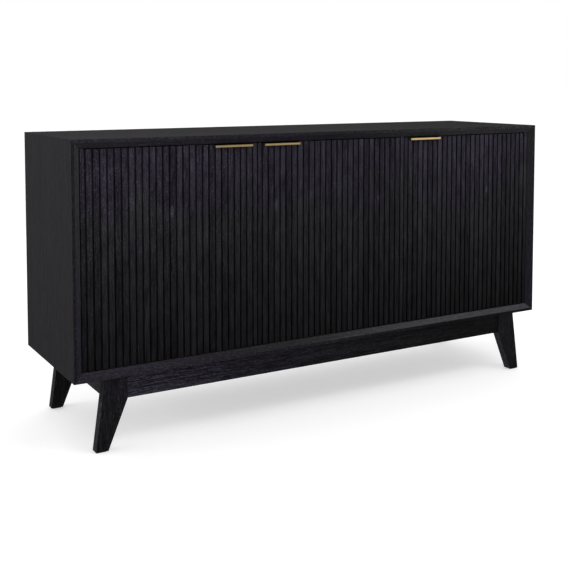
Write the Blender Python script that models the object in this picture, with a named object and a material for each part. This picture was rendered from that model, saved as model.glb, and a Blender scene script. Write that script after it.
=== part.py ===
"""Sideboard buffet: a mitred case with three fluted inset doors on a splayed leg base.

Metres, +Z up. X runs along the width, the front faces -Y, and the origin is on the
floor below the centre of the case.
"""
import math

import bmesh
import bpy
from mathutils import Vector

# Case
WIDTH = 1.500
DEPTH = 0.406
HEIGHT = 0.772
LEG_HEIGHT = 0.182              # floor to the underside of the case
BOARD = 0.022                   # top, bottom and side panels
EDGE_FLAT = 0.008               # flat band left on a panel's front edge
EDGE_BEVEL_DEPTH = 0.010        # how far back the inner front bevel runs
RABBET = 0.010                  # width of the ledge round the back panel
RABBET_DEPTH = 0.008
BACK_PANEL = 0.006
TOUCH = 0.0003                  # gap between pieces that rest on each other
OVERCUT = 0.001                 # how far a cutter runs past the face it cuts

# Doors
DOOR_THICK = 0.020
DOOR_SIDE_GAP = 0.0025
DOOR_BETWEEN_GAP = 0.003
DOOR_TOP_GAP = 0.0028
DOOR_BOTTOM_GAP = 0.0025
RIBS = 27
RIB_PITCH = 0.01823
GROOVE_WIDTH = 0.0044
GROOVE_DEPTH = 0.005
RIB_BEVEL = 0.0008
PIVOT_INSET = 0.005             # hinge pin to the door's edge and to its face
PIVOT_RADIUS = 0.0020
PIVOT_PLAY = 0.0003
PIVOT_REACH = 0.0070            # of the pin into the door's edge
PIVOT_END_PLAY = 0.0005
PIVOT_COLLAR = 0.0036           # radius
LEAF_THICK = 0.0022
LEAF_MARGIN = 0.0015            # a leaf's head to the door's edge and to its face
LEAF_HEAD = 0.0085              # from the door's edge to where the head ends
LEAF_ARM = (0.0065, 0.0165)     # sides of the arm, from the door's face
LEAF_END = 0.0460               # end of the arm, from the door's edge

# Catch pieces: half width, front and back behind the door, then bottom and top as a
# drop, which is from the door's top for the plate and from the ceiling for the others
STRIKE_PLATE = (0.019, (TOUCH, 0.0015), (0.0100, 0.0010))
MAGNET = (0.017, (0.0022, 0.0045), (0.0115, 0.0045))
CATCH_HOUSING = (0.022, (0.0048, 0.0200), (0.0125, 0.0))
CATCH_FROM_PULL = 0.091         # centre to centre

# Pulls
PULL_LENGTH = 0.109
PULL_FROM_FREE_EDGE = 0.0165
PULL_METAL = 0.0018
PULL_TOP_METAL = 0.0015
PULL_FACE_SETBACK = 0.0006      # behind the case's front plane
PULL_LIP = 0.0052
PULL_DROP = 0.0020              # top of the pull below the door's top edge
PULL_BACK_LEG = 0.018

# Inside
PARTITION = 0.018
PARTITION_SETBACK = 0.003       # behind the doors' backs
SHELF_THICK = 0.018
SHELF_DEPTH = 0.340
SHELF_BACK_GAP = 0.005
SHELF_SIDE_GAP = 0.002
PIN_FROM_SHELF_EDGE = 0.040
PIN_ROWS = 5
PIN_ROW_PITCH = 0.032
PIN_FIRST_ROW = 0.175           # above the case floor
PIN_RADIUS = 0.0025
PIN_COLLAR = (0.0040, 0.0015)   # radius and thickness
PIN_STANDS_OUT = 0.0100
PIN_BORE_DEPTH = 0.007

# Base
LEG_SETBACK = 0.0055            # leg face behind the case's front plane
LEG_THICK = 0.026
LEG_FOOT = (0.0540, 0.0855)     # outer and inner edge at the floor, from the case's side
LEG_OUTER_TOP = 0.0788          # outer edge at the underside of the case
LEG_INNER_TOP = 0.1373          # inner edge, upright above the bend
BEND_HEIGHT = 0.1256            # underside of the rails, where the inner edge bends
RAIL_SETBACK = 0.009
RAIL_THICK = 0.020
SIDE_RAIL_INSET = 0.0876
GLIDE = (0.024, 0.020)
GLIDE_THICK = 0.0017
STRETCHER = 0.040               # width and height
BLOCK_HEIGHT = 0.030
BLOCK_SLANT = ((0.192, 0.034), (0.116, 0.092))  # slanted face, from the case's side and front

FRONT = -DEPTH / 2
BACK = DEPTH / 2
CASE_FLOOR = LEG_HEIGHT + BOARD
CASE_CEILING = HEIGHT - BOARD
INNER_X = WIDTH / 2 - BOARD
BACK_PANEL_FACE = BACK - RABBET_DEPTH + TOUCH
DOOR_FACE = FRONT + EDGE_BEVEL_DEPTH
DOOR_BACK = DOOR_FACE + DOOR_THICK
DOOR_TOP = CASE_CEILING - DOOR_TOP_GAP
DOOR_BOTTOM = CASE_FLOOR + DOOR_BOTTOM_GAP
DOOR_WIDTH = (2 * INNER_X - 2 * DOOR_SIDE_GAP - 2 * DOOR_BETWEEN_GAP) / 3
PARTITION_X = (DOOR_WIDTH + DOOR_BETWEEN_GAP) / 2   # where the middle and right doors meet

# Colour, roughness and metallic value of each finish
FINISHES = {
    "stained_oak": ((0.021, 0.020, 0.023), 0.52, 0.0),
    "stained_panel": ((0.026, 0.026, 0.028), 0.58, 0.0),
    "brushed_brass": ((0.56, 0.42, 0.20), 0.34, 1.0),
    "steel": ((0.50, 0.50, 0.51), 0.35, 1.0),
    "black_steel": ((0.020, 0.020, 0.022), 0.45, 0.0),
    "nylon": ((0.030, 0.030, 0.032), 0.50, 0.0),
}

helpers = {}


def clear_scene():
    for obj in list(bpy.data.objects):
        bpy.data.objects.remove(obj, do_unlink=True)


def make_material(name, finish):
    colour, roughness, metallic = FINISHES[finish]
    mat = bpy.data.materials.new(name)
    mat.use_nodes = True
    bsdf = mat.node_tree.nodes["Principled BSDF"]
    bsdf.inputs["Base Color"].default_value = (*colour, 1.0)
    bsdf.inputs["Roughness"].default_value = roughness
    bsdf.inputs["Metallic"].default_value = metallic
    mat.diffuse_color = (*colour, 1.0)
    return mat


def link_mesh(name, bm, origin):
    """Turn a bmesh in world coordinates into an object whose origin is at `origin`."""
    bmesh.ops.recalc_face_normals(bm, faces=bm.faces)
    bmesh.ops.translate(bm, verts=bm.verts, vec=-Vector(origin))
    mesh = bpy.data.meshes.new(name)
    bm.to_mesh(mesh)
    bm.free()
    obj = bpy.data.objects.new(name, mesh)
    obj.location = origin
    bpy.context.collection.objects.link(obj)
    return obj


def piece(name, finish, bm, origin=None, parent=None, round_piece=False):
    """One finished sub-part."""
    if origin is None:
        low = [min(v.co[i] for v in bm.verts) for i in range(3)]
        high = [max(v.co[i] for v in bm.verts) for i in range(3)]
        origin = [(a + b) / 2 for a, b in zip(low, high)]
    obj = link_mesh(name, bm, origin)
    obj.data.materials.append(make_material(name, finish))
    if round_piece:
        obj.data.shade_smooth()
        obj.data.set_sharp_from_angle(angle=math.radians(40))
    if parent is not None:
        obj.parent = parent
        obj.location = Vector(origin) - parent.location
    return obj


def axis_empty(name, position):
    """An empty on a door's hinge axis."""
    empty = bpy.data.objects.new(name, None)
    empty.empty_display_size = 0.05
    empty.location = position
    bpy.context.collection.objects.link(empty)
    return empty


def add_rings(bm, rings):
    """Skin a list of vertex rings and close both ends."""
    made = [[bm.verts.new(co) for co in ring] for ring in rings]
    for near, far in zip(made, made[1:]):
        for i in range(len(near)):
            j = (i + 1) % len(near)
            bm.faces.new((near[i], near[j], far[j], far[i]))
    bm.faces.new(made[0])
    bm.faces.new(list(reversed(made[-1])))


def to_world(axis, a, b, along):
    """Coordinates of a point (a, b) in the plane across `axis`, `along` it."""
    if axis == "X":
        return (along, a, b)
    if axis == "Y":
        return (a, along, b)
    return (a, b, along)


def add_prism(bm, outline, axis, start, end):
    """Extrude a closed outline, given across X as (y, z), Y as (x, z) or Z as (x, y)."""
    add_rings(bm, [[to_world(axis, a, b, along) for a, b in outline] for along in (start, end)])


def add_box(bm, x, y, z):
    add_prism(bm, [(x[0], y[0]), (x[1], y[0]), (x[1], y[1]), (x[0], y[1])], "Z", *z)


def add_turned(bm, axis, centre, profile, sides=10):
    """A turned solid: `profile` lists (radius, position along the axis)."""
    rings = []
    for radius, along in profile:
        ring = []
        for k in range(sides):
            angle = 2 * math.pi * (k + 0.5) / sides
            a = centre[0] + radius * math.cos(angle)
            b = centre[1] + radius * math.sin(angle)
            ring.append(to_world(axis, a, b, along))
        rings.append(ring)
    add_rings(bm, rings)


def add_rod(bm, axis, centre, radius, start, end, sides=10):
    add_turned(bm, axis, centre, [(radius, start), (radius, end)], sides)


def helper_shape(target, kind, operation="DIFFERENCE"):
    """The bmesh that collects one kind of cut in a piece, or of addition to it.

    Shapes of one kind don't touch each other.
    """
    key = (target, kind, operation)
    if key not in helpers:
        helpers[key] = bmesh.new()
    return helpers[key]


def apply_helpers():
    """Cut or join each helper shape with a Boolean modifier on its piece."""
    for (target, kind, operation), bm in helpers.items():
        helper = link_mesh(f"{target}_{kind}", bm, (0.0, 0.0, 0.0))
        helper.hide_render = True
        helper.display_type = "WIRE"
        boolean = bpy.data.objects[target].modifiers.new(kind, "BOOLEAN")
        boolean.operation = operation
        boolean.solver = "EXACT"
        boolean.object = helper


def corners():
    """Name of each corner of the base, with the signs of its x and y."""
    for side, hand in ((-1, "left"), (1, "right")):
        for end, face in ((-1, "front"), (1, "back")):
            yield f"{hand}_{face}", side, end


# ------------------------------------------------------------------ case
def board_section():
    """Section of a case panel as (depth into the case, y)."""
    return [
        (0.0, FRONT), (EDGE_FLAT, FRONT), (BOARD, FRONT + EDGE_BEVEL_DEPTH),
        (BOARD, BACK - RABBET_DEPTH), (BOARD - RABBET, BACK - RABBET_DEPTH),
        (BOARD - RABBET, BACK), (0.0, BACK),
    ]


def build_case():
    half_gap = TOUCH / math.sqrt(2)
    for name, side in (("top_panel", 1), ("bottom_panel", -1)):
        face = HEIGHT if side > 0 else LEG_HEIGHT
        rings = []
        for end in (-1, 1):
            rings.append([(end * (WIDTH / 2 - t - half_gap), y, face - side * t)
                          for t, y in board_section()])
        bm = bmesh.new()
        add_rings(bm, rings)
        piece(name, "stained_panel", bm)

    for name, side in (("left_side_panel", -1), ("right_side_panel", 1)):
        rings = []
        for low in (True, False):
            ring = []
            for t, y in board_section():
                z = LEG_HEIGHT + t + half_gap if low else HEIGHT - t - half_gap
                ring.append((side * (WIDTH / 2 - t), y, z))
            rings.append(ring)
        bm = bmesh.new()
        add_rings(bm, rings)
        piece(name, "stained_panel", bm)


def build_back():
    ledge = BOARD - RABBET + TOUCH
    bm = bmesh.new()
    add_box(bm, (-WIDTH / 2 + ledge, WIDTH / 2 - ledge),
            (BACK_PANEL_FACE, BACK_PANEL_FACE + BACK_PANEL),
            (LEG_HEIGHT + ledge, HEIGHT - ledge))
    piece("back_panel", "stained_panel", bm)


# ---------------------------------------------------------------- inside
def build_partition():
    x = (PARTITION_X - PARTITION / 2, PARTITION_X + PARTITION / 2)
    bm = bmesh.new()
    add_box(bm, x, (DOOR_BACK + PARTITION_SETBACK, BACK_PANEL_FACE - TOUCH),
            (CASE_FLOOR + TOUCH, CASE_CEILING - TOUCH))
    piece("partition", "stained_panel", bm)


def build_shelves():
    pin_height = CASE_FLOOR + PIN_FIRST_ROW + 2 * PIN_ROW_PITCH
    shelf_bottom = pin_height + PIN_RADIUS + TOUCH
    back = BACK_PANEL_FACE - SHELF_BACK_GAP
    front = back - SHELF_DEPTH
    pin_spots = (("front", front + PIN_FROM_SHELF_EDGE), ("back", back - PIN_FROM_SHELF_EDGE))
    bays = (
        ("wide_shelf", -INNER_X, PARTITION_X - PARTITION / 2, "left_side_panel", "partition"),
        ("narrow_shelf", PARTITION_X + PARTITION / 2, INNER_X, "partition", "right_side_panel"),
    )
    for name, left, right, left_panel, right_panel in bays:
        bm = bmesh.new()
        add_box(bm, (left + SHELF_SIDE_GAP, right - SHELF_SIDE_GAP),
                (front, back), (shelf_bottom, shelf_bottom + SHELF_THICK))
        piece(name, "stained_panel", bm)
        walls = (("left", left, 1, left_panel), ("right", right, -1, right_panel))
        for side, wall, out, panel in walls:
            for end, y in pin_spots:
                build_shelf_pin(f"{name}_{side}_{end}_pin", (y, pin_height), wall, out)
                bores = helper_shape(panel, "pin_bores")
                for row in range(PIN_ROWS):
                    z = CASE_FLOOR + PIN_FIRST_ROW + row * PIN_ROW_PITCH
                    add_rod(bores, "X", (y, z), PIN_RADIUS + TOUCH,
                            wall - out * PIN_BORE_DEPTH, wall + out * OVERCUT, 8)


def build_shelf_pin(name, centre, wall, out):
    """A pin with a collar; `out` is the direction it stands out of the wall."""
    collar, thick = PIN_COLLAR
    profile = [(PIN_RADIUS, -PIN_BORE_DEPTH + TOUCH), (PIN_RADIUS, TOUCH), (collar, TOUCH),
               (collar, thick), (PIN_RADIUS, thick), (PIN_RADIUS, PIN_STANDS_OUT)]
    bm = bmesh.new()
    add_turned(bm, "X", centre, [(radius, wall + out * along) for radius, along in profile], 8)
    piece(name, "steel", bm, round_piece=True)


# ----------------------------------------------------------------- doors
def door_outline(left):
    """Plan section of a door: a flat back and a row of square ribs with eased edges."""
    first = left + (DOOR_WIDTH - (RIBS - 2) * RIB_PITCH) / 2
    right = left + DOOR_WIDTH
    half, floor = GROOVE_WIDTH / 2, DOOR_FACE + GROOVE_DEPTH
    points = [(left, DOOR_BACK), (left, DOOR_FACE + RIB_BEVEL), (left + RIB_BEVEL, DOOR_FACE)]
    for k in range(RIBS - 1):
        x = first + k * RIB_PITCH
        points += [(x - half - RIB_BEVEL, DOOR_FACE), (x - half, DOOR_FACE + RIB_BEVEL),
                   (x - half, floor), (x + half, floor),
                   (x + half, DOOR_FACE + RIB_BEVEL), (x + half + RIB_BEVEL, DOOR_FACE)]
    points += [(right - RIB_BEVEL, DOOR_FACE), (right, DOOR_FACE + RIB_BEVEL), (right, DOOR_BACK)]
    return points


def leaf_outline(edge, inward, grow=0.0):
    """Plan of an offset knife-hinge leaf, measured from a door's edge and face."""
    near, head, end = LEAF_MARGIN - grow, LEAF_HEAD + grow, LEAF_END + grow
    front, back = LEAF_ARM[0] - grow, LEAF_ARM[1] + grow
    outline = [(near, near), (head, near), (head, front), (end, front), (end, back), (near, back)]
    return [(edge + inward * a, DOOR_FACE + b) for a, b in outline]


def build_hinge(door, edge, inward, pivot, up, parent):
    """The knife hinge at a door's top (up = 1) or bottom edge (up = -1).

    One leaf is let into the door, the other into the case. The case's leaf carries the
    pin, whose collar keeps the door's leaf off it.
    """
    place = "top" if up > 0 else "bottom"
    door_edge = DOOR_TOP if up > 0 else DOOR_BOTTOM
    case_face = CASE_CEILING if up > 0 else CASE_FLOOR
    panel = f"{place}_panel"

    door_leaf, case_leaf = f"{door}_{place}_leaf", f"{door}_{place}_case_leaf"
    bm = bmesh.new()
    add_prism(bm, leaf_outline(edge, inward), "Z", door_edge - up * LEAF_THICK, door_edge)
    piece(door_leaf, "black_steel", bm, parent=parent)
    add_rod(helper_shape(door_leaf, "pin_hole"), "Z", pivot, PIVOT_RADIUS + PIVOT_PLAY,
            door_edge - up * (LEAF_THICK + OVERCUT), door_edge + up * OVERCUT, 12)
    recess = LEAF_THICK + TOUCH
    add_prism(helper_shape(door, "leaf_recess"), leaf_outline(edge, inward, TOUCH), "Z",
              door_edge - up * recess, door_edge + up * OVERCUT)
    add_rod(helper_shape(door, "pin_holes"), "Z", pivot, PIVOT_RADIUS + PIVOT_PLAY,
            door_edge - up * (PIVOT_REACH + PIVOT_END_PLAY), door_edge - up * OVERCUT, 12)

    bm = bmesh.new()
    add_prism(bm, leaf_outline(edge, inward), "Z", case_face, case_face + up * LEAF_THICK)
    piece(case_leaf, "black_steel", bm)
    add_turned(helper_shape(case_leaf, "pin", "UNION"), "Z", pivot,
               [(PIVOT_RADIUS, door_edge - up * PIVOT_REACH), (PIVOT_RADIUS, door_edge + up * TOUCH),
                (PIVOT_COLLAR, door_edge + up * TOUCH), (PIVOT_COLLAR, case_face + up * OVERCUT)], 12)
    add_prism(helper_shape(panel, "leaf_recess"), leaf_outline(edge, inward, TOUCH), "Z",
              case_face - up * OVERCUT, case_face + up * recess)


def build_pull(door, x, parent):
    """A bent strip in a notch across the door's top edge: front lip, top and back leg."""
    half, lip = PULL_LENGTH / 2, FRONT + PULL_FACE_SETBACK
    high = DOOR_TOP - PULL_DROP
    low = high - PULL_TOP_METAL
    rear = DOOR_BACK + TOUCH
    outline = [(lip, high - PULL_LIP), (lip + PULL_METAL, high - PULL_LIP),
               (lip + PULL_METAL, low), (rear, low), (rear, high - PULL_BACK_LEG),
               (rear + PULL_METAL, high - PULL_BACK_LEG), (rear + PULL_METAL, high), (lip, high)]
    bm = bmesh.new()
    add_prism(bm, outline, "X", x - half, x + half)
    piece(f"{door}_pull", "brushed_brass", bm, parent=parent)
    add_box(helper_shape(door, "pull_notch"), (x - half - TOUCH, x + half + TOUCH),
            (DOOR_FACE - OVERCUT, DOOR_BACK + OVERCUT), (low - TOUCH, DOOR_TOP + OVERCUT))


def build_catch(name, x, axis):
    """A magnet in a housing under the case top, and its strike plate on the door's back."""
    ceiling = CASE_CEILING - TOUCH
    pieces = (("strike_plate", "steel", STRIKE_PLATE, DOOR_TOP, axis),
              ("magnet", "steel", MAGNET, ceiling, None),
              ("catch", "nylon", CATCH_HOUSING, ceiling, None))
    for kind, finish, (half, behind, drops), top, parent in pieces:
        bm = bmesh.new()
        add_box(bm, (x - half, x + half), [DOOR_BACK + depth for depth in behind],
                [top - drop for drop in drops])
        piece(f"{name}_{kind}", finish, bm, parent=parent)


def build_doors():
    left = -INNER_X + DOOR_SIDE_GAP
    for name, hinge_on_left in (("door_left", True), ("door_middle", False), ("door_right", False)):
        right = left + DOOR_WIDTH
        edge, free_edge, inward = (left, right, 1) if hinge_on_left else (right, left, -1)
        pivot = (edge + inward * PIVOT_INSET, DOOR_FACE + PIVOT_INSET)
        axis = axis_empty(f"{name}_axis", (*pivot, (DOOR_BOTTOM + DOOR_TOP) / 2))

        bm = bmesh.new()
        add_prism(bm, door_outline(left), "Z", DOOR_BOTTOM, DOOR_TOP)
        piece(name, "stained_oak", bm, origin=tuple(axis.location), parent=axis)
        for up in (1, -1):
            build_hinge(name, edge, inward, pivot, up, axis)
        pull_x = free_edge - inward * (PULL_FROM_FREE_EDGE + PULL_LENGTH / 2)
        build_pull(name, pull_x, axis)
        build_catch(name, pull_x - inward * CATCH_FROM_PULL, axis)
        left = right + DOOR_BETWEEN_GAP


# ------------------------------------------------------------------ base
def build_base():
    top = LEG_HEIGHT - TOUCH
    foot = GLIDE_THICK + TOUCH
    slope_out = (LEG_OUTER_TOP - LEG_FOOT[0]) / LEG_HEIGHT
    slope_in = (LEG_INNER_TOP - LEG_FOOT[1]) / BEND_HEIGHT
    leg_section = [
        (LEG_FOOT[0] + slope_out * foot, foot), (LEG_FOOT[1] + slope_in * foot, foot),
        (LEG_INNER_TOP, BEND_HEIGHT), (LEG_INNER_TOP, top), (LEG_FOOT[0] + slope_out * top, top),
    ]
    foot_centre = (LEG_FOOT[0] + LEG_FOOT[1]) / 2
    for corner, side, end in corners():
        y = end * (DEPTH / 2 - LEG_SETBACK)
        bm = bmesh.new()
        add_prism(bm, [(side * (WIDTH / 2 - inset), z) for inset, z in leg_section],
                  "Y", y, y - end * LEG_THICK)
        piece(f"{corner}_leg", "stained_oak", bm)

        x = side * (WIDTH / 2 - foot_centre)
        mid = y - end * LEG_THICK / 2
        bm = bmesh.new()
        add_box(bm, (x - GLIDE[0] / 2, x + GLIDE[0] / 2), (mid - GLIDE[1] / 2, mid + GLIDE[1] / 2),
                (0.0, GLIDE_THICK))
        piece(f"{corner}_glide", "nylon", bm)

    build_rails(top)
    build_corner_blocks(top)


def build_rails(top):
    rail_end = WIDTH / 2 - LEG_INNER_TOP - TOUCH
    for name, end in (("front_rail", -1), ("back_rail", 1)):
        face = end * (DEPTH / 2 - RAIL_SETBACK)
        bm = bmesh.new()
        add_box(bm, (-rail_end, rail_end), (face, face - end * RAIL_THICK), (BEND_HEIGHT, top))
        piece(name, "stained_oak", bm)

    rail_end = DEPTH / 2 - LEG_SETBACK - LEG_THICK - TOUCH
    for name, side in (("left_side_rail", -1), ("right_side_rail", 1)):
        face = side * (WIDTH / 2 - SIDE_RAIL_INSET)
        bm = bmesh.new()
        add_box(bm, (face, face - side * RAIL_THICK), (-rail_end, rail_end), (BEND_HEIGHT, top))
        piece(name, "stained_oak", bm)

    reach = DEPTH / 2 - RAIL_SETBACK - RAIL_THICK - TOUCH
    bm = bmesh.new()
    add_box(bm, (-STRETCHER / 2, STRETCHER / 2), (-reach, reach), (top - STRETCHER, top))
    piece("centre_stretcher", "stained_oak", bm)


def build_corner_blocks(top):
    """Blocks behind each leg that tie it to its two rails and to the case."""
    side_face = SIDE_RAIL_INSET + RAIL_THICK + TOUCH
    leg_face = LEG_SETBACK + LEG_THICK + TOUCH
    rail_face = RAIL_SETBACK + RAIL_THICK + TOUCH
    leg_edge = LEG_INNER_TOP + TOUCH
    (end_x, _), (_, end_y) = BLOCK_SLANT
    outline = [(side_face, end_y), (side_face, leg_face), (leg_edge, leg_face),
               (leg_edge, rail_face), (end_x, rail_face), *BLOCK_SLANT]
    for corner, side, end in corners():
        bm = bmesh.new()
        add_prism(bm, [(side * (WIDTH / 2 - a), end * (DEPTH / 2 - b)) for a, b in outline],
                  "Z", top - BLOCK_HEIGHT, top)
        piece(f"{corner}_block", "stained_oak", bm)


clear_scene()
build_case()
build_back()
build_partition()
build_shelves()
build_doors()
build_base()
apply_helpers()
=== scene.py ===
"""Looks of the sideboard buffet: black-stained oak, brushed brass pulls, steel fittings."""
import math

import bmesh
import bpy
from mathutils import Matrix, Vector


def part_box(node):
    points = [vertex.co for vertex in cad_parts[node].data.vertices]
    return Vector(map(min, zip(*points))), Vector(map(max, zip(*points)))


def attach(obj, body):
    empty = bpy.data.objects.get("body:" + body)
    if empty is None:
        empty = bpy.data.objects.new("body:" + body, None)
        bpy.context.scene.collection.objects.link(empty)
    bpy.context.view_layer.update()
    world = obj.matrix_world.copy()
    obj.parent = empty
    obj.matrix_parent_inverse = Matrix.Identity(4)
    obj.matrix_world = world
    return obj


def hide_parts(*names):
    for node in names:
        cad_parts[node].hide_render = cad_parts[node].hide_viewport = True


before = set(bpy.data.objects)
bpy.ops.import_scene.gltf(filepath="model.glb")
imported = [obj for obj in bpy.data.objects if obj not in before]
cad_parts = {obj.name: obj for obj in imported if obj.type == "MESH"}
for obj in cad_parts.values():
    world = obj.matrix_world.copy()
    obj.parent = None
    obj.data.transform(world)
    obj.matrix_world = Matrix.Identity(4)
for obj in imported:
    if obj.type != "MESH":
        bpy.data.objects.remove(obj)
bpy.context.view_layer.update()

MM = 0.001
SMOOTH = "SMOOTHSTEP"
WHITE = (1.0, 1.0, 1.0)

# Camera: metres, degrees, and millimetres of film
CAMERA_PLACE = (-1.4448, -2.3918, 0.9097)
CAMERA_DOWN = 3.647
CAMERA_TO_RIGHT = 30.275
SENSOR_WIDTH = 36.0
LENS = 60.30
CAMERA_SHIFT = -0.25

# Places and sizes that the CAD gives
DOORS = ("door_left", "door_middle", "door_right")
DOOR_FRONT, DOOR_BACK = (corner.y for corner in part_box("door_left"))
CASE_LOW, CASE_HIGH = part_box("left_side_panel")[0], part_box("right_side_panel")[1]
BOARD = CASE_HIGH.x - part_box("right_side_panel")[0].x
RAIL_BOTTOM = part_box("front_rail")[0].z
RIBS = 27
RIB_PITCH = 0.01823
GROOVE_DEPTH = 0.005
PIN_RADIUS = 2.5 * MM
PIN_STANDS_OUT = 10.0 * MM
CAD_PIN_SIDES = 8

# Black stain on oak, as linear colours: in the pores and dark grain, and on the light grain
STAIN = {"dark": (0.0076, 0.0075, 0.0088), "light": (0.0450, 0.0442, 0.0515)}
PANEL = {"dark": (0.0212, 0.0211, 0.0225), "light": (0.0332, 0.0331, 0.0352)}
# INNER: the panel stain made lighter, painted light for the shaded inside of the case, its shelves
# and partition, and the back panel
INNER = {"dark": (0.0380, 0.0370, 0.0400), "light": (0.0620, 0.0605, 0.0650)}
PALE = (0.166, 0.161, 0.172)         # wood that the stain has missed
PURPLE = (0.98, 0.89, 1.13)          # painted violet tint of the light, as a factor

# How much the noise of the grain is stretched along it: the grain itself, and short marks
GRAIN = {"X": (0.025, 1.0, 1.0), "Y": (1.0, 0.025, 1.0), "Z": (1.0, 1.0, 0.04)}
GRAIN_SHORT = {"X": (0.3, 1.0, 1.0), "Y": (1.0, 0.3, 1.0), "Z": (1.0, 1.0, 0.3)}
PATCH_STRETCH = (1.0, 1.0, 0.4)
SPECK_STRETCH = (1.0, 1.0, 0.6)

# Noise: scale per metre, detail and roughness
DRIFT = (5.0, 1.0, 0.5)
FIGURE = (60.0, 3.0, 0.5)
STREAKS = (330.0, 3.0, 0.6)
FIBRES = (850.0, 2.0, 0.6)
DOOR_CLOUD = (9.0, 2.0, 0.5)
BRUSHING = (2600.0, 2.0, 0.6)
SMUDGES = (60.0, 2.0, 0.5)
COATING_CLOUD = (90.0, 2.0, 0.5)
COATING_GRAIN = (1800.0, 2.0, 0.5)

# Marks: their noise, the values where they start and are full, and at times their strengths
PORES = (1300.0, 2.0, 0.5), (0.56, 0.70)
FLECKS = (430.0, 1.0, 0.5), (0.60, 0.74)
WEAR = (140.0, 2.0, 0.5), (0.44, 0.62)
EDGE_FLECKS = (420.0, 2.0, 0.6), (0.54, 0.68, 0.0, 0.38)
SHORT_STREAKS = (300.0, 3.0, 0.6), (0.36, 0.64)
DOOR_PATCHES = (42.0, 3.0, 0.6), (0.34, 0.66, 0.74, 1.26)
LOOSE_SPECKS = (330.0, 2.0, 0.6), (0.55, 0.72)
KNOT_SPECKS = (560.0, 3.0, 0.5), (0.53, 0.62)

# Wood: what each layer of grain adds to the tone, and how the rest follows from it
FIGURE_WEIGHT, STREAK_WEIGHT, FIBRE_WEIGHT = 0.40, 1.2, 1.2
GRAIN_MIDDLE = (FIGURE_WEIGHT + STREAK_WEIGHT + FIBRE_WEIGHT) / 2
GRAIN_REACH = 0.28                   # from the middle to the darkest and the lightest grain
GRAIN_DRIFT = 4.0 * MM
PORE_TONE = 0.45
PORE_DEPTH = 0.8                     # against the streaks' height
WOOD_RELIEF = 0.25 * MM
WORN_WIDTH = 1.5 * MM
WORN_TURN = (0.995, 0.92)            # cosines: where the wear of a turning edge starts, is full
WORN_TONE = 0.14
STRIP_SHIFT = 9.0                    # metres of board that the ribs are cut from
STRIP_TONE = 0.26                    # from the darkest rib to the lightest
INSIDE_PAINTED_LIGHT = 0.9                         # painted light: how much lighter the case's inner faces are, against the shade there
MARGIN = 0.5 * MM                    # from a face to where a finish tells it from the next
# Where the painted shade in a door's grooves starts and where it is full, from the front
GROOVE_TONE_STARTS = (DOOR_FRONT + 0.8 * MM, DOOR_FRONT + 1.6 * MM)

# Painted light and shade, as (place, tone) stops along the width, from left to right; the last
# stops give how strong the doors' loose specks are
TOP_TONES = ((CASE_LOW.x, 1.22), (0.0, 1.00), (CASE_HIGH.x, 0.76))
UPPER_BAND_TONES = ((-0.60, 0.84), (0.0, 0.54), (0.4, 0.84))
UPPER_BEVEL_TONES = ((-0.60, 0.84), (0.0, 0.50), (0.4, 1.00))
LOWER_BAND_TONES = ((-0.55, 0.82), (-0.27, 0.61), (0.0, 0.61), (0.4, 0.36))
# The bottom panel's bevel carries a painted highlight at its right end
LOWER_BEVEL_TONES = ((-0.55, 0.88), (-0.40, 0.64), (-0.10, 0.80), (0.3, 1.95))
RAIL_TONES = ((-0.62, 1.02), (-0.25, 0.42), (0.1, 0.27), (0.5, 0.13))
SPECK_STRENGTHS = ((CASE_LOW.x, 0.55), (-0.25, 0.26), (0.1, 0.12))

# Fades along the width, as (from here, to there, from this value, to that one): of painted violet
# light, of flecks, and of the legs' painted light and shade
RAIL_PURPLE = (-0.20, 0.20, 0.90, 0.0)
UPPER_PURPLE = (-0.20, 0.30, 0.75, 0.0)
LOWER_BAND_PURPLE = (-0.10, 0.40, 0.75, 0.12)
LOWER_BEVEL_PURPLE = (-0.50, -0.10, 0.90, 0.0)
LOWER_FLECKS = (-0.40, 0.20, 1.0, 0.2)
LEG_TONE = (CASE_LOW.x, CASE_HIGH.x, 0.37, 0.28)
LEG_LEFT_FACE = (CASE_LOW.x, CASE_HIGH.x, 2.6, 3.6)
# Painted shade, fading from front to back
LEG_BACK = (-0.10, 0.10, 1.0, 0.72)
# Fades upwards: of painted light on the side panels, of painted violet light, of flecks and
# specks, and of painted shade at the legs' feet
UPRIGHT_RISE = (CASE_LOW.z, CASE_HIGH.z, 0.96, 1.15)
UPRIGHT_PURPLE = (0.30, 0.55, 1.0, 0.1)
UPRIGHT_FLECKS = (0.30, 0.55, 0.7, 0.3)
LEFT_BEVEL = (0.25, 0.60, 0.74, 1.0)
SPECK_RISE = (0.25, 0.65, 0.35, 1.0)
DOOR_PURPLE = (0.74, 0.95, 0.0, 1.0)
LEG_PURPLE = (0.06, 0.16, 0.0, 0.9)
LEG_FOOT = (0.02, 0.15, 0.72, 1.0)

# Faces told by how far they look to the front, to the left or up: where that starts, is full
BAND_FACING = (-0.85, -0.97)
BEVEL_FACING = (-0.30, -0.60)
LEFT_FACING = (-0.30, -0.70)
TOP_FACING = (0.7, 0.9)

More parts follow.
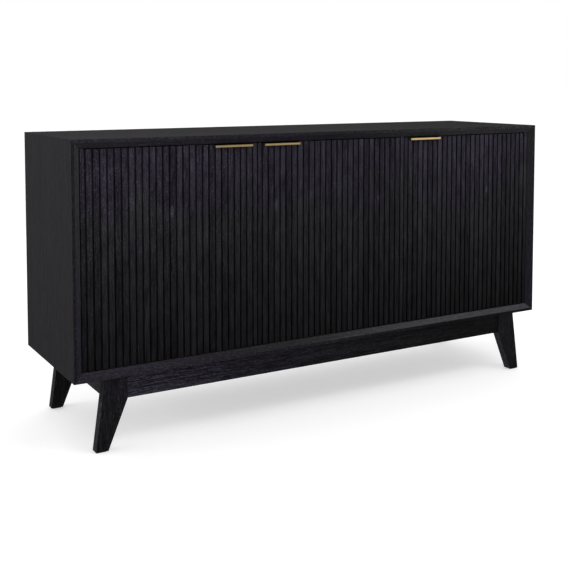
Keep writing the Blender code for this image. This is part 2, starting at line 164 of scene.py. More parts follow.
# Painted light and shade on the side panels' front edges and on the doors, the knots, and how
# strong streaks are
UPRIGHT_BAND = {"left": 0.53, "right": 0.54}
RIGHT_BEVEL = 0.60
BAND_STREAKS, BEVEL_STREAKS, BASE_STREAKS = 0.38, 0.20, 0.50
DOOR_TONES = {                       # painted shade: at the foot, at the head, and in the grooves
    "door_left": (0.26, 0.93, 0.66),
    "door_middle": (0.24, 0.80, 0.57),
    "door_right": (0.18, 0.94, 0.36),
}
DOOR_MIDDLE_TONE = 0.51
KNOTS = ((-0.488, 0.582, 2.2), (-0.185, 0.579, 1.9), (-0.077, 0.602, 0.6),
         (0.150, 0.583, 1.5), (0.559, 0.579, 1.0))           # x, z and strength
KNOT_WIDTH, KNOT_HEIGHT = 5.5 * MM, 16.0 * MM                # from its middle to its edge

# Edges: degrees between faces that count as one, that are eased, and that stay sharp
ONE_FACE, EASED_FROM, SHARP_FROM = 0.5, 25.0, 35.0

# Each door's fittings: finish, and how far their edges are eased
FITTINGS = {
    "pull": ("brass", 0.35 * MM),
    "strike_plate": ("steel", 0.2 * MM),
    "magnet": ("steel", 0.2 * MM),
    "catch": ("nylon", 0.6 * MM),
    "top_leaf": ("black_steel", 0.15 * MM),
    "top_case_leaf": ("black_steel", 0.15 * MM),
    "bottom_leaf": ("black_steel", 0.15 * MM),
    "bottom_case_leaf": ("black_steel", 0.15 * MM),
}

# Screw heads, as (radius, height), and where they sit
PULL_HEAD, PULL_SPREAD, PULL_RISE = (3.2 * MM, 1.5 * MM), 36 * MM, 7 * MM
PLATE_HEAD, PLATE_SPREAD = (2.4 * MM, 0.4 * MM), 13 * MM
CATCH_HEAD, CATCH_SPREAD = (2.6 * MM, 1.2 * MM), 15 * MM
LEAF_HEAD, LEAF_FROM_END, LEAF_FROM_BACK = (2.8 * MM, 0.4 * MM), (8 * MM, 24 * MM), 5 * MM
BACK_HEAD, BACK_INSET, BACK_COLUMNS, BACK_ROWS = (3.2 * MM, 1.4 * MM), 5 * MM, 6, 4
BASE_HEAD = (4.0 * MM, 1.8 * MM)
BLOCK_SCREWS = ((14 * MM, 41 * MM), (52 * MM, 13 * MM))      # from a block's outer corner
STRETCHER_SCREWS = 1.5               # the stretcher's length over that of its row of screws
SCREW_SIDES = 24

# Turned shelf pins
COLLAR_FROM, COLLAR_TO = 0.3 * MM, 1.5 * MM                  # from the wall
COLLAR_EASE, TIP_EASE = 0.3 * MM, 0.5 * MM
PIN_SIDES = 32

# Studio. Lights: place, target, width and height, watts, colour
LIGHTS = {
    "key": ((0.5, -1.2, 1.7), (0.2, -0.15, 0.6), (1.6, 0.6), 10.0, WHITE),
    "fill": ((-1.2, -2.2, 1.6), (-0.2, -0.2, 0.55), (1.0, 1.0), 8.0, (0.96, 0.92, 1.0)),
    "side": ((-3.2, 0.5, 0.9), (-0.75, 0.0, 0.45), (1.4, 1.2), 20.0, WHITE),
    "glint": ((2.5, -2.6, 0.75), (0.3, -0.2, 0.7), (1.1, 1.1), 10.0, WHITE),
    "back": ((1.4, 3.0, 0.55), (0.0, 0.2, 0.45), (1.6, 0.8), 14.0, WHITE),
    "bounce": ((0.0, -0.2, -1.3), (0.0, 0.0, 0.0), (3.0, 1.6), 18.0, WHITE),
}
WORLD_BELOW = (-0.30, -0.04, 0.15, 1.0)      # fade upwards
WORLD_HIGH = (0.06, 0.25)                    # how high the front side starts to dim, is dim
WORLD_FRONT = (-0.70, 0.20, 0.35, 1.0)       # fade from front to back, high up
FLOOR_SIZE = 60.0
FLOOR_TONE = 0.75
FLOOR_GLOW = 0.45


# ------------------------------------------------------------------ camera
def make_camera():
    data = bpy.data.cameras.new("camera")
    data.sensor_width = SENSOR_WIDTH
    data.lens = LENS
    data.shift_y = CAMERA_SHIFT
    camera = bpy.data.objects.new("camera", data)
    camera.location = CAMERA_PLACE
    camera.rotation_euler = (math.radians(90.0 - CAMERA_DOWN), 0.0, math.radians(-CAMERA_TO_RIGHT))
    bpy.context.scene.collection.objects.link(camera)
    bpy.context.scene.camera = camera


# ------------------------------------------------------------ node helpers
class Nodes:
    """Short calls for the nodes that the materials and the world are made of."""

    def __init__(self, tree):
        self.tree = tree

    def add(self, kind, inputs=None, **settings):
        made = self.tree.nodes.new(kind)
        for key, value in settings.items():
            setattr(made, key, value)
        for key, value in (inputs or {}).items():
            self.feed(made.inputs[key], value)
        return made

    def feed(self, socket, value):
        if isinstance(value, bpy.types.NodeSocket):
            self.tree.links.new(value, socket)
        else:
            socket.default_value = value

    def math(self, operation, a, b=0.0, c=0.0):
        return self.add("ShaderNodeMath", {0: a, 1: b, 2: c}, operation=operation).outputs[0]

    def vector(self, operation, a, b):
        return self.add("ShaderNodeVectorMath", {0: a, 1: b}, operation=operation).outputs[0]

    def split(self, vector):
        return self.add("ShaderNodeSeparateXYZ", {0: vector}).outputs

    def noise(self, vector, scale, detail=2.0, rough=0.5):
        inputs = {"Vector": vector, "Scale": scale, "Detail": detail, "Roughness": rough}
        return self.add("ShaderNodeTexNoise", inputs).outputs["Fac"]

    def remap(self, value, low, high, to_low=0.0, to_high=1.0, curve="LINEAR"):
        inputs = {"Value": value, "From Min": low, "From Max": high,
                  "To Min": to_low, "To Max": to_high}
        return self.add("ShaderNodeMapRange", inputs, interpolation_type=curve).outputs[0]

    def mix(self, factor, a, b, blend="MIX"):
        inputs = {"Factor": factor, 6: a, 7: b}
        return self.add("ShaderNodeMix", inputs, data_type="RGBA", blend_type=blend).outputs[2]


def new_shader(name, roughness, metallic=0.0, specular=0.5):
    material = bpy.data.materials.new(name)
    material.use_nodes = True
    bsdf = material.node_tree.nodes["Principled BSDF"]
    bsdf.inputs["Roughness"].default_value = roughness
    bsdf.inputs["Metallic"].default_value = metallic
    bsdf.inputs["Specular IOR Level"].default_value = specular
    return material, Nodes(material.node_tree), bsdf.inputs


def rgba(colour):
    return (*colour, 1.0)


# ---------------------------------------------------------------- finishes
def ramp(n, value, stops):
    """A value that runs through (position, result) stops in straight stretches."""
    result = stops[0][1]
    for (start, low), (end, high) in zip(stops, stops[1:]):
        result = n.math("ADD", result, n.remap(value, start, end, 0.0, high - low))
    return result


def marks(n, place, kind, *strengths):
    """Noise that shows from one value on and is full at another."""
    noise, shown = kind
    return n.remap(n.noise(place, *noise), *shown, *strengths)


def edge_wear(n, place):
    """0 on flat faces, and up to 1 in patches along the edges."""
    soft = n.add("ShaderNodeBevel", {"Radius": WORN_WIDTH}, samples=4).outputs[0]
    sharp = n.add("ShaderNodeNewGeometry").outputs["Normal"]
    dot = n.add("ShaderNodeVectorMath", {0: soft, 1: sharp}, operation="DOT_PRODUCT")
    edge = n.remap(dot.outputs["Value"], *WORN_TURN)
    return n.math("MULTIPLY", edge, marks(n, place, WEAR))


def streaky(n, place, grain, spread):
    """Short streaks along the grain, up to `spread` above and below 1."""
    along = n.vector("MULTIPLY", place, GRAIN_SHORT[grain])
    return marks(n, along, SHORT_STREAKS, 1.0 - spread, 1.0 + spread)


def wood(name, grain, stain, roughness=0.62, specular=0.06, speckle=0.30, contrast=1.0,
         shade=None, strips=None, purple=None, missed=None):
    """Open-grain oak under a black stain, with the grain along one axis.

    Speckle is the strength of the pale flecks, and contrast that of the grain. Each of the
    others is a function of the place: shade scales the colour with the painted light and
    shade, strips gives each strip of wood its own grain and tone, purple says how much of the
    painted violet light shows, and missed where the stain has left the wood pale.
    """
    material, n, sockets = new_shader(name, roughness, specular=specular)
    place = n.add("ShaderNodeTexCoord").outputs["Object"]
    drift = n.remap(n.noise(place, *DRIFT), 0.0, 1.0, -GRAIN_DRIFT, GRAIN_DRIFT)
    offset, strip_tone = strips(n, place) if strips else ((0.0, 0.0, 0.0), 0.0)
    wood_place = n.vector("ADD", n.vector("ADD", place, drift), offset)
    along = n.vector("MULTIPLY", wood_place, GRAIN[grain])
    figure = n.noise(along, *FIGURE)
    streaks = n.noise(along, *STREAKS)
    fibres = n.noise(along, *FIBRES)
    pores = marks(n, along, PORES)
    short = n.vector("ADD", n.vector("MULTIPLY", place, GRAIN_SHORT[grain]), offset)
    flecks = marks(n, short, FLECKS)

    tone = n.math("MULTIPLY", streaks, STREAK_WEIGHT)
    tone = n.math("MULTIPLY_ADD", figure, FIGURE_WEIGHT, tone)
    tone = n.math("ADD", n.math("MULTIPLY_ADD", fibres, FIBRE_WEIGHT, tone), strip_tone)
    reach = GRAIN_REACH / contrast
    tone = n.remap(tone, GRAIN_MIDDLE - reach, GRAIN_MIDDLE + reach)
    tone = n.math("MULTIPLY", tone, n.remap(pores, 0.0, 1.0, 1.0, PORE_TONE))
    colour = n.mix(tone, rgba(stain["dark"]), rgba(stain["light"]))
    bare = n.math("MULTIPLY", flecks, speckle)
    bare = n.math("MULTIPLY_ADD", edge_wear(n, place), WORN_TONE, bare)
    if missed:
        bare = n.math("ADD", bare, missed(n, place))
    colour = n.mix(bare, colour, rgba(PALE))
    # Painted violet light
    if purple:
        colour = n.mix(purple(n, place), colour, rgba(PURPLE), "MULTIPLY")
    # Painted light and shade
    if shade:
        colour = n.mix(1.0, colour, shade(n, place), "MULTIPLY")
    n.feed(sockets["Base Color"], colour)
    n.feed(sockets["Roughness"], n.remap(streaks, 0.3, 0.7, roughness - 0.06, roughness + 0.06))
    height = n.math("MULTIPLY_ADD", pores, -PORE_DEPTH, streaks)
    bump = n.add("ShaderNodeBump", {"Height": height, "Distance": WOOD_RELIEF, "Strength": 0.5})
    n.feed(sockets["Normal"], bump.outputs[0])
    return material


# Doors
def fluted_side(n, y):
    """1 on a door's ribs and in its grooves, 0 on its other faces."""
    return n.math("LESS_THAN", y, DOOR_FRONT + GROOVE_DEPTH + MARGIN)


def rib_strips(door):
    """Each rib's own stretch of grain and its own tone, on the fluted side of a door."""
    low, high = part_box(door)
    first_groove = low.x + (high.x - low.x - (RIBS - 2) * RIB_PITCH) / 2

    def strips(n, place):
        x, y, _ = n.split(place)
        index = n.math("FLOOR", n.math("DIVIDE", n.math("SUBTRACT", x, first_groove), RIB_PITCH))
        index = n.math("MULTIPLY", index, fluted_side(n, y))
        random = n.add("ShaderNodeTexWhiteNoise", {"W": index}, noise_dimensions="1D").outputs[0]
        shift = n.math("MULTIPLY", random, STRIP_SHIFT)
        offset = n.add("ShaderNodeCombineXYZ", {2: shift}).outputs[0]
        return offset, n.math("MULTIPLY_ADD", random, STRIP_TONE, -STRIP_TONE / 2)

    return strips


def door_painted_shade(door):
    """Painted shade: darker towards the door's foot, and in the grooves, with random patches of
    tone.
    """
    low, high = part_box(door)
    foot_tone, head_tone, groove_tone = DOOR_TONES[door]
    middle = (low.z + high.z) / 2
    tones = ((low.z, foot_tone), (middle, DOOR_MIDDLE_TONE), (high.z, head_tone))

    def shade(n, place):
        _, y, z = n.split(place)
        patches = marks(n, n.vector("MULTIPLY", place, PATCH_STRETCH), DOOR_PATCHES)
        tone = n.math("MULTIPLY", ramp(n, z, tones), patches)
        sunk = n.math("MULTIPLY", fluted_side(n, y), n.remap(y, *GROOVE_TONE_STARTS))
        return n.math("MULTIPLY", tone, n.remap(sunk, 0.0, 1.0, 1.0, groove_tone))

    return shade


def door_purple(n, place):
    """Painted violet light on a door: its upper part, with a cloudy lower edge."""
    _, _, z = n.split(place)
    cloudy_z = n.math("MULTIPLY_ADD", n.noise(place, *DOOR_CLOUD), 0.5, z)
    return n.remap(cloudy_z, *DOOR_PURPLE, SMOOTH)


def door_specks(n, place):
    """Pale specks on the ribs: round the pin knots, and loose ones that are thickest at the
    upper left.
    """
    x, y, z = n.split(place)
    along = n.vector("MULTIPLY", place, SPECK_STRETCH)
    loose = n.math("MULTIPLY", marks(n, along, LOOSE_SPECKS), ramp(n, x, SPECK_STRENGTHS))
    loose = n.math("MULTIPLY", loose, n.remap(z, *SPECK_RISE))
    speck = marks(n, along, KNOT_SPECKS)
    glow = 0.0
    for knot_x, knot_z, strength in KNOTS:
        across = n.math("DIVIDE", n.math("SUBTRACT", x, knot_x), KNOT_WIDTH)
        down = n.math("DIVIDE", n.math("SUBTRACT", z, knot_z), KNOT_HEIGHT)
        reach = n.math("MULTIPLY_ADD", across, across, n.math("MULTIPLY", down, down))
        glow = n.math("ADD", glow, n.remap(reach, 0.0, 1.0, strength, 0.0))
    on_ribs = n.math("LESS_THAN", y, DOOR_FRONT + GROOVE_DEPTH)
    return n.math("MULTIPLY", n.math("MULTIPLY_ADD", glow, speck, loose), on_ribs)


# Case
def looks_along(n):
    """How far a face looks to the right, to the back and up."""
    return n.split(n.add("ShaderNodeTexCoord").outputs["Normal"])


def front_edges(n):
    """How far a face is the flat band of the case's front edges, and how far the bevel."""
    _, y, _ = looks_along(n)
    band_start, band_full = BAND_FACING
    not_band = n.remap(y, band_full, band_start)
    return n.remap(y, *BAND_FACING), n.math("MULTIPLY", n.remap(y, *BEVEL_FACING), not_band)


def at_foot(n, z):
    """1 on the bottom panel, 0 on the top one."""
    return n.math("LESS_THAN", z, CASE_LOW.z + BOARD)


def inside_case(n, place):
    """1 on the faces that look into the case, 0 on the others."""
    x, y, z = n.split(place)
    room = BOARD - MARGIN
    across = n.math("LESS_THAN", n.math("ABSOLUTE", x), CASE_HIGH.x - room)
    middle, half = (CASE_LOW.z + CASE_HIGH.z) / 2, (CASE_HIGH.z - CASE_LOW.z) / 2 - room
    up = n.math("LESS_THAN", n.math("ABSOLUTE", n.math("SUBTRACT", z, middle)), half)
    behind = n.math("GREATER_THAN", y, DOOR_BACK)
    return n.math("MULTIPLY", behind, n.math("MULTIPLY", across, up))


def painted_light_inside(n, place, tone):
    """Painted light: lighter inside the case, where shade falls."""
    return n.math("MULTIPLY", tone, n.math("MULTIPLY_ADD", inside_case(n, place), INSIDE_PAINTED_LIGHT, 1.0))


def weigh(n, place, grain, band_tone, bevel_tone):
    """Painted light by facing: a tone for the flat band, one for the bevel, both streaky, and 1
    elsewhere.
    """
    band, bevel = front_edges(n)
    band_tone = n.math("MULTIPLY", streaky(n, place, grain, BAND_STREAKS), band_tone)
    bevel_tone = n.math("MULTIPLY", streaky(n, place, grain, BEVEL_STREAKS), bevel_tone)
    tone = n.math("MULTIPLY_ADD", band, n.math("SUBTRACT", band_tone, 1.0), 1.0)
    return n.math("MULTIPLY_ADD", bevel, n.math("SUBTRACT", bevel_tone, 1.0), tone)


def edge_flecks(n, place):
    """Fine pale flecks on the case's front edges only."""
    band, bevel = front_edges(n)
    return n.math("MULTIPLY", marks(n, place, EDGE_FLECKS), n.math("ADD", band, bevel))


def across_painted_light(n, place):
    """Painted light and shade on the top and bottom panel, lighter inside the case. The top
    one's upward faces are lighter at the left than at the right, and its front edge is darkest
    in the middle. The bottom one's flat band darkens towards the right, where its bevel carries
    a painted highlight.
    """
    x, _, z = n.split(place)
    foot = at_foot(n, z)
    low_band, low_bevel = ramp(n, x, LOWER_BAND_TONES), ramp(n, x, LOWER_BEVEL_TONES)
    band = n.remap(foot, 0.0, 1.0, ramp(n, x, UPPER_BAND_TONES), low_band)
    bevel = n.remap(foot, 0.0, 1.0, ramp(n, x, UPPER_BEVEL_TONES), low_bevel)
    _, _, up = looks_along(n)
    top = n.remap(up, *TOP_FACING, 1.0, ramp(n, x, TOP_TONES))
    return painted_light_inside(n, place, n.math("MULTIPLY", weigh(n, place, "X", band, bevel), top))


def across_purple(n, place):
    """Painted violet light on the front edges of the top and bottom panel, strongest at the left.
    """
    x, _, z = n.split(place)
    band, bevel = front_edges(n)
    low_band = n.math("MULTIPLY", band, n.remap(x, *LOWER_BAND_PURPLE, SMOOTH))
    low_bevel = n.math("MULTIPLY", bevel, n.remap(x, *LOWER_BEVEL_PURPLE, SMOOTH))
    top = n.math("MULTIPLY", n.remap(x, *UPPER_PURPLE, SMOOTH), n.math("ADD", band, bevel))
    return n.remap(at_foot(n, z), 0.0, 1.0, top, n.math("ADD", low_band, low_bevel))


def across_flecks(n, place):
    """Few flecks at the right end of the bottom panel's front edge, where its bevel carries a
    painted highlight.
    """
    x, _, z = n.split(place)
    kept = n.remap(at_foot(n, z), 0.0, 1.0, 1.0, n.remap(x, *LOWER_FLECKS))
    return n.math("MULTIPLY", kept, edge_flecks(n, place))


def upright_painted_light(n, place):
    """Painted light on the side panels: lighter towards the top, and lighter inside the case. The
    left one's bevel is painted lighter than its flat band.
    """
    x, _, z = n.split(place)
    left = n.math("LESS_THAN", x, 0.0)
    band = n.remap(left, 0.0, 1.0, UPRIGHT_BAND["right"], UPRIGHT_BAND["left"])
    bevel = n.remap(left, 0.0, 1.0, RIGHT_BEVEL, n.remap(z, *LEFT_BEVEL))
    rise = n.remap(z, *UPRIGHT_RISE)
    return painted_light_inside(n, place, n.math("MULTIPLY", rise, weigh(n, place, "Z", band, bevel)))


def upright_purple(n, place):
    """Painted violet light on the side panels' front edges, strongest low down."""
    band, bevel = front_edges(n)
    low_down = n.remap(n.split(place)[2], *UPRIGHT_PURPLE, SMOOTH)
    return n.math("MULTIPLY", low_down, n.math("ADD", band, bevel))


def upright_flecks(n, place):
    """Flecks on the side panels' front edges, more of them low down."""
    low_down = n.remap(n.split(place)[2], *UPRIGHT_FLECKS, SMOOTH)
    return n.math("MULTIPLY", low_down, edge_flecks(n, place))


# Base
def rail_painted_shade(n, place):
    """Painted shade: a rail that is lighter at its left end than at its right, with streaks along
    the grain.
    """
    tone = ramp(n, n.split(place)[0], RAIL_TONES)
    return n.math("MULTIPLY", tone, streaky(n, place, "X", BASE_STREAKS))


def rail_purple(n, place):
    """Painted violet light on a rail's left half."""
    return n.remap(n.split(place)[0], *RAIL_PURPLE, SMOOTH)


def left_face(n):
    """1 on faces that look to the left."""
    return n.remap(looks_along(n)[0], *LEFT_FACING)


def leg_painted_light(n, place):
    """Painted light and shade: darker towards the foot, at the right and at the back, lighter on
    the left faces below the rails; with streaks along the grain.
    """
    x, y, z = n.split(place)
    tone = n.math("MULTIPLY", n.remap(x, *LEG_TONE), n.remap(z, *LEG_FOOT))
    tone = n.math("MULTIPLY", tone, streaky(n, place, "Z", BASE_STREAKS))
    left_tone = n.remap(x, *LEG_LEFT_FACE)
    left_tone = n.remap(z, RAIL_BOTTOM - 2 * MM, RAIL_BOTTOM + 2 * MM, left_tone, 1.0)
    tone = n.math("MULTIPLY", tone, n.remap(left_face(n), 0.0, 1.0, 1.0, left_tone))
    return n.math("MULTIPLY", tone, n.remap(y, *LEG_BACK))


def leg_purple(n, place):
    """Painted violet light on the legs: high up, and not on their left faces."""
    high_up = n.remap(n.split(place)[2], *LEG_PURPLE, SMOOTH)
    return n.math("MULTIPLY", high_up, n.remap(left_face(n), 0.0, 1.0, 1.0, 0.0))


# Fittings
def metal(name, colour, tint, roughness, grain):
    """Metal brushed along one axis, with faint smudges."""
    material, n, sockets = new_shader(name, roughness, metallic=1.0)
    place = n.add("ShaderNodeTexCoord").outputs["Object"]
    lines = n.noise(n.vector("MULTIPLY", place, GRAIN[grain]), *BRUSHING)
    smudge = n.noise(place, *SMUDGES)
    n.feed(sockets["Base Color"], n.mix(smudge, rgba(colour), rgba(tint)))
    gloss = n.math("MULTIPLY_ADD", smudge, 0.12, roughness - 0.14)
    n.feed(sockets["Roughness"], n.math("MULTIPLY_ADD", lines, 0.16, gloss))
    bump = n.add("ShaderNodeBump", {"Height": lines, "Distance": 0.03 * MM, "Strength": 0.5})
    n.feed(sockets["Normal"], bump.outputs[0])
    return material


def coated(name, colour, tint, roughness):
    """Moulded plastic or a black coating: a fine grain, and a slow cloud in tone and gloss."""
    material, n, sockets = new_shader(name, roughness, specular=0.4)
    place = n.add("ShaderNodeTexCoord").outputs["Object"]
    cloud = n.noise(place, *COATING_CLOUD)
    n.feed(sockets["Base Color"], n.mix(cloud, rgba(colour), rgba(tint)))
    n.feed(sockets["Roughness"], n.remap(cloud, 0.3, 0.7, roughness - 0.05, roughness + 0.06))
    grain = n.noise(place, *COATING_GRAIN)
    bump = n.add("ShaderNodeBump", {"Height": grain, "Distance": 0.05 * MM, "Strength": 0.5})
    n.feed(sockets["Normal"], bump.outputs[0])
    return material


def make_finishes():
    panel = {"roughness": 0.80, "specular": 0.004, "speckle": 0.05}
    inner = {"roughness": 0.75, "specular": 0.03, "speckle": 0.05}
    finishes = {
        "panel_x": wood("oak_panel_x", "X", PANEL, **panel, shade=across_painted_light,
                        purple=across_purple, missed=across_flecks),
        "panel_z": wood("oak_panel_z", "Z", PANEL, **panel, shade=upright_painted_light,
                        purple=upright_purple, missed=upright_flecks),
        # Inner pieces take the lighter stain: painted light
        "inner_x": wood("oak_inner_x", "X", INNER, **inner),
        "inner_z": wood("oak_inner_z", "Z", INNER, **inner),
        "solid_x": wood("oak_solid_x", "X", STAIN, speckle=0.22, contrast=1.9,
                        shade=rail_painted_shade, purple=rail_purple),
        "solid_y": wood("oak_solid_y", "Y", STAIN),
        "solid_z": wood("oak_solid_z", "Z", STAIN, contrast=1.9, shade=leg_painted_light,
                        purple=leg_purple),
        "brass": metal("brushed_brass", (0.35, 0.265, 0.125), (0.30, 0.22, 0.10), 0.34, "X"),
        "steel": metal("satin_steel", (0.50, 0.50, 0.51), (0.42, 0.42, 0.43), 0.36, "X"),
        "black_steel": coated("black_steel", (0.018, 0.018, 0.019), (0.024, 0.024, 0.026), 0.45),
        "nylon": coated("black_nylon", (0.018, 0.018, 0.019), (0.026, 0.026, 0.028), 0.50),
    }
    for door in DOORS:
        finishes[door] = wood(f"oak_{door}", "Z", STAIN, strips=rib_strips(door),
                              shade=door_painted_shade(door), purple=door_purple, missed=door_specks)
    return finishes


# ------------------------------------------------------------------ pieces
def dress(node, finish, radius):
    """Give a CAD node its finish, and ease its edges."""
    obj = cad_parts[node]
    for slot in obj.material_slots:
        slot.material = finish
    flat = obj.modifiers.new("flat_faces", "DECIMATE")
    flat.decimate_type = "DISSOLVE"
    flat.angle_limit = math.radians(ONE_FACE)
    ease = obj.modifiers.new("eased_edges", "BEVEL")
    ease.width = radius
    ease.segments = 2
    ease.limit_method = "ANGLE"
    ease.angle_limit = math.radians(EASED_FROM)


def dress_case(finishes):
    for node in ("top_panel", "bottom_panel"):
        dress(node, finishes["panel_x"], 0.5 * MM)
    for node in ("left_side_panel", "right_side_panel"):
        dress(node, finishes["panel_z"], 0.5 * MM)
    dress("partition", finishes["inner_z"], 0.5 * MM)
    dress("back_panel", finishes["inner_x"], 0.3 * MM)
    for node in ("wide_shelf", "narrow_shelf"):
        dress(node, finishes["inner_x"], 0.8 * MM)


def dress_doors(finishes):
    for door in DOORS:
        dress(door, finishes[door], 0.25 * MM)
        for fitting, (finish, radius) in FITTINGS.items():
            dress(f"{door}_{fitting}", finishes[finish], radius)


def dress_base(finishes):
    for node in ("front_rail", "back_rail"):
        dress(node, finishes["solid_x"], 0.8 * MM)
    for node in ("left_side_rail", "right_side_rail", "centre_stretcher"):
        dress(node, finishes["solid_y"], 0.8 * MM)
    for hand in ("left", "right"):
        for end in ("front", "back"):
            dress(f"{hand}_{end}_leg", finishes["solid_z"], 1.0 * MM)
            dress(f"{hand}_{end}_block", finishes["solid_x"], 0.8 * MM)
            dress(f"{hand}_{end}_glide", finishes["nylon"], 0.3 * MM)


def add_piece(name, bm, body, finish):
    """A piece that the CAD leaves out, or a rounder one, riding on a CAD body."""
    bmesh.ops.recalc_face_normals(bm, faces=bm.faces)
    mesh = bpy.data.meshes.new(name)
    bm.to_mesh(mesh)
    bm.free()
    mesh.shade_smooth()
    mesh.set_sharp_from_angle(angle=math.radians(SHARP_FROM))
    mesh.materials.append(finish)
    obj = bpy.data.objects.new(name, mesh)
    bpy.context.scene.collection.objects.link(obj)
    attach(obj, body)
    return obj


def skin_rings(bm, rings):
    """Faces between neighbouring rings of points, and across the first and the last."""
    made = [[bm.verts.new(point) for point in ring] for ring in rings]
    for near, far in zip(made, made[1:]):
        for i in range(len(near)):
            j = (i + 1) % len(near)
            bm.faces.new((near[i], near[j], far[j], far[i]))
    bm.faces.new(made[0])
    bm.faces.new(made[-1])


def build_shelf_pins(finishes):
    """Turned pins with a collar, in place of the CAD's eight-sided ones."""
    turns = [2 * math.pi * k / PIN_SIDES for k in range(PIN_SIDES)]
    pins = [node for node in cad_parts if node.endswith("_pin")]
    for node in pins:
        low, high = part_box(node)
        out = 1 if "_left_" in node else -1
        buried, tip = (low.x, high.x) if out > 0 else (high.x, low.x)
        wall = tip - out * PIN_STANDS_OUT
        y, z = (low.y + high.y) / 2, (low.z + high.z) / 2
        collar = (high.z - low.z) / 2 / math.cos(math.pi / CAD_PIN_SIDES)
        near, far = wall + out * COLLAR_FROM, wall + out * COLLAR_TO
        profile = ((PIN_RADIUS, buried), (PIN_RADIUS, near),
                   (collar - COLLAR_EASE, near), (collar, near + out * COLLAR_EASE),
                   (collar, far - out * COLLAR_EASE), (collar - COLLAR_EASE, far),
                   (PIN_RADIUS, far), (PIN_RADIUS, tip - out * TIP_EASE),
                   (PIN_RADIUS - TIP_EASE, tip))
        rings = []
        for radius, x in profile:
            rings.append([(x, y + radius * math.cos(t), z + radius * math.sin(t)) for t in turns])
        bm = bmesh.new()
        skin_rings(bm, rings)
        pin = add_piece(f"round_{node}", bm, "carcass", finishes["steel"])
        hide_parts(node)


def add_screw(bm, place, out, radius, height):
    """A domed screw head with a cross recess, standing on a face that looks along `out`."""
    turn = Vector(out).to_track_quat("Z", "Y").to_matrix()
    arm, half_width = 0.62 * radius, 0.16 * radius

    def circle(_):
        return 1.0

    def cross(angle):
        from_arm = (angle + math.pi / 4) % (math.pi / 2) - math.pi / 4
        side = half_width / max(abs(math.sin(from_arm)), 0.05)
        return min(arm / math.cos(from_arm), side)

    # Each level's outline, how far out it runs and how high it lies, from the rim to the recess
    levels = ((circle, radius, 0.0), (circle, radius, 0.4 * height),
              (circle, 0.88 * radius, 0.8 * height), (circle, 0.70 * radius, height),
              (cross, 1.0, height), (cross, 0.8, 0.1 * height))
    rings = []
    for outline, scale, level in levels:
        ring = []
        for k in range(SCREW_SIDES):
            angle = 2 * math.pi * k / SCREW_SIDES
            reach = scale * outline(angle)
            point = Vector((reach * math.cos(angle), reach * math.sin(angle), level))
            ring.append(Vector(place) + turn @ point)
        rings.append(ring)
    skin_rings(bm, rings)


def build_screws(name, body, finish, groups):
    """One piece that holds groups of screws, each group as (places, out, radius, height)."""
    bm = bmesh.new()
    for places, out, radius, height in groups:
        for place in places:
            add_screw(bm, place, out, radius, height)
    add_piece(name, bm, body, finish)


def build_door_screws(door, finishes):
    """Two in the pull, two in the strike plate, and two in the catch above them."""
    steel = finishes["steel"]
    low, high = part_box(f"{door}_pull")
    middle = (low.x + high.x) / 2
    pull = [(middle + side * PULL_SPREAD, high.y, low.z + PULL_RISE) for side in (-1, 1)]
    low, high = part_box(f"{door}_strike_plate")
    middle, level = (low.x + high.x) / 2, (low.z + high.z) / 2
    plate = [(middle + side * PLATE_SPREAD, high.y, level) for side in (-1, 1)]
    groups = ((pull, (0, 1, 0), *PULL_HEAD), (plate, (0, 1, 0), *PLATE_HEAD))
    build_screws(f"{door}_screws", door, steel, groups)

    low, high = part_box(f"{door}_catch")
    middle, back = (low.x + high.x) / 2, (low.y + high.y) / 2
    catch = [(middle + side * CATCH_SPREAD, back, low.z) for side in (-1, 1)]
    groups = ((catch, (0, 0, -1), *CATCH_HEAD),)
    build_screws(f"{door}_catch_screws", "carcass", steel, groups)


def build_leaf_screws(door, finishes):
    """Two screws in each hinge leaf, in the arm that runs away from the hinge's pin."""
    inward = 1 if door == "door_left" else -1
    on_door, on_case = [], []
    for place, up in (("top", 1), ("bottom", -1)):
        low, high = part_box(f"{door}_{place}_leaf")
        end = high.x if inward > 0 else low.x
        spots = [(end - inward * away, high.y - LEAF_FROM_BACK) for away in LEAF_FROM_END]
        edge, thick = (high.z if up > 0 else low.z), high.z - low.z
        on_door.append(([(*spot, edge) for spot in spots], (0, 0, up), *LEAF_HEAD))
        low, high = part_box(f"{door}_{place}_case_leaf")
        face = high.z - thick if up > 0 else low.z + thick
        on_case.append(([(*spot, face) for spot in spots], (0, 0, -up), *LEAF_HEAD))
    black = finishes["black_steel"]
    build_screws(f"{door}_leaf_screws", door, black, on_door)
    build_screws(f"{door}_case_leaf_screws", "carcass", black, on_case)


def spread(low, high, inset, count):
    """Evenly spaced positions, the first and the last one inset from the ends."""
    return [low + inset + k * (high - low - 2 * inset) / (count - 1) for k in range(count)]


def build_back_screws(finishes):
    """Round the back panel's edge, and up its middle into the partition."""
    low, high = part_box("back_panel")
    columns = spread(low.x, high.x, BACK_INSET, BACK_COLUMNS)
    rows = spread(low.z, high.z, BACK_INSET, BACK_ROWS)
    places = [(x, high.y, z) for x in columns for z in (rows[0], rows[-1])]
    places += [(x, high.y, z) for x in (columns[0], columns[-1]) for z in rows[1:-1]]
    partition = sum(corner.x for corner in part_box("partition")) / 2
    places += [(partition, high.y, z) for z in rows[1:-1]]
    groups = ((places, (0, 1, 0), *BACK_HEAD),)
    build_screws("back_panel_screws", "carcass", finishes["steel"], groups)


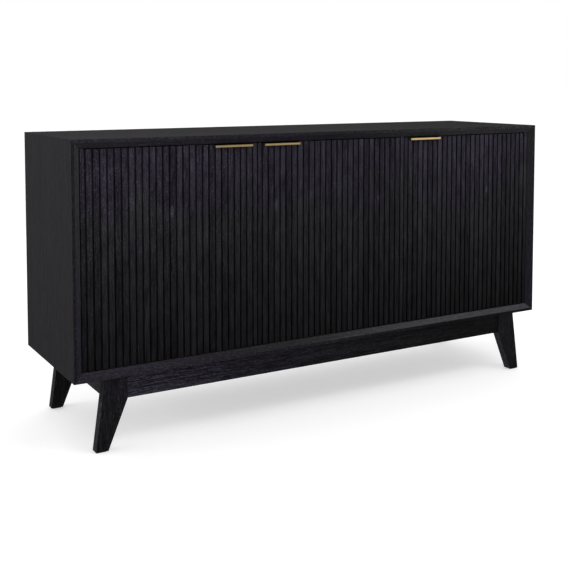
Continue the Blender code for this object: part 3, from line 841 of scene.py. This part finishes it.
def build_base_screws(finishes):
    """Up through the corner blocks and the centre stretcher, into the case."""
    places = []
    for side, hand in ((-1, "left"), (1, "right")):
        for end, face in ((-1, "front"), (1, "back")):
            low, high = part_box(f"{hand}_{face}_block")
            corner_x = low.x if side < 0 else high.x
            corner_y = low.y if end < 0 else high.y
            for along, across in BLOCK_SCREWS:
                places.append((corner_x - side * along, corner_y - end * across, low.z))
    low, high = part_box("centre_stretcher")
    middle = (low.x + high.x) / 2
    ends = low.y / STRETCHER_SCREWS, high.y / STRETCHER_SCREWS
    places += [(middle, y, low.z) for y in (ends[0], 0.0, ends[1])]
    groups = ((places, (0, 0, -1), *BASE_HEAD),)
    build_screws("base_screws", "carcass", finishes["steel"], groups)


# ------------------------------------------------------------------- stage
def build_stage():
    """A pale floor that is clear from below."""
    bm = bmesh.new()
    bmesh.ops.create_grid(bm, x_segments=1, y_segments=1, size=FLOOR_SIZE)
    mesh = bpy.data.meshes.new("floor")
    bm.to_mesh(mesh)
    bm.free()
    floor = bpy.data.objects.new("floor", mesh)
    bpy.context.scene.collection.objects.link(floor)
    floor.visible_diffuse = False
    floor.visible_glossy = False
    floor.visible_shadow = False
    material, n, sockets = new_shader("floor", roughness=0.9, specular=0.1)
    sockets["Base Color"].default_value = (FLOOR_TONE, FLOOR_TONE, FLOOR_TONE, 1.0)
    sockets["Emission Color"].default_value = rgba(WHITE)
    sockets["Emission Strength"].default_value = FLOOR_GLOW
    from_below = n.add("ShaderNodeNewGeometry").outputs["Backfacing"]
    surface = material.node_tree.nodes["Material Output"].inputs["Surface"]
    paint = material.node_tree.nodes["Principled BSDF"].outputs[0]
    clear = n.add("ShaderNodeBsdfTransparent").outputs[0]
    n.feed(surface, n.add("ShaderNodeMixShader", {0: from_below, 1: paint, 2: clear}).outputs[0])
    floor.data.materials.append(material)


def build_world():
    """White from the horizon up, dim below it, and less bright high up on the front side."""
    world = bpy.data.worlds.new("studio")
    bpy.context.scene.world = world
    world.use_nodes = True
    n = Nodes(world.node_tree)
    _, y, z = n.split(n.add("ShaderNodeTexCoord").outputs["Generated"])
    high_front = n.remap(y, *WORLD_FRONT, SMOOTH)
    colour = n.mix(n.remap(z, *WORLD_HIGH), rgba(WHITE), high_front)
    back = world.node_tree.nodes["Background"]
    n.feed(back.inputs["Color"], colour)
    n.feed(back.inputs["Strength"], n.remap(z, *WORLD_BELOW, SMOOTH))


def build_lights():
    for name, (place, target, size, power, colour) in LIGHTS.items():
        data = bpy.data.lights.new(name, "AREA")
        data.shape = "RECTANGLE"
        data.size, data.size_y = size
        data.energy = power
        data.color = colour
        light = bpy.data.objects.new(name, data)
        light.location = place
        aim = Vector(target) - Vector(place)
        light.rotation_euler = aim.to_track_quat("-Z", "Y").to_euler()
        bpy.context.scene.collection.objects.link(light)


make_camera()
finishes = make_finishes()
dress_case(finishes)
dress_doors(finishes)
dress_base(finishes)
build_shelf_pins(finishes)
for door in DOORS:
    build_door_screws(door, finishes)
    build_leaf_screws(door, finishes)
build_back_screws(finishes)
build_base_screws(finishes)
build_stage()
build_world()
build_lights()
bpy.context.scene.view_settings.view_transform = "Standard"
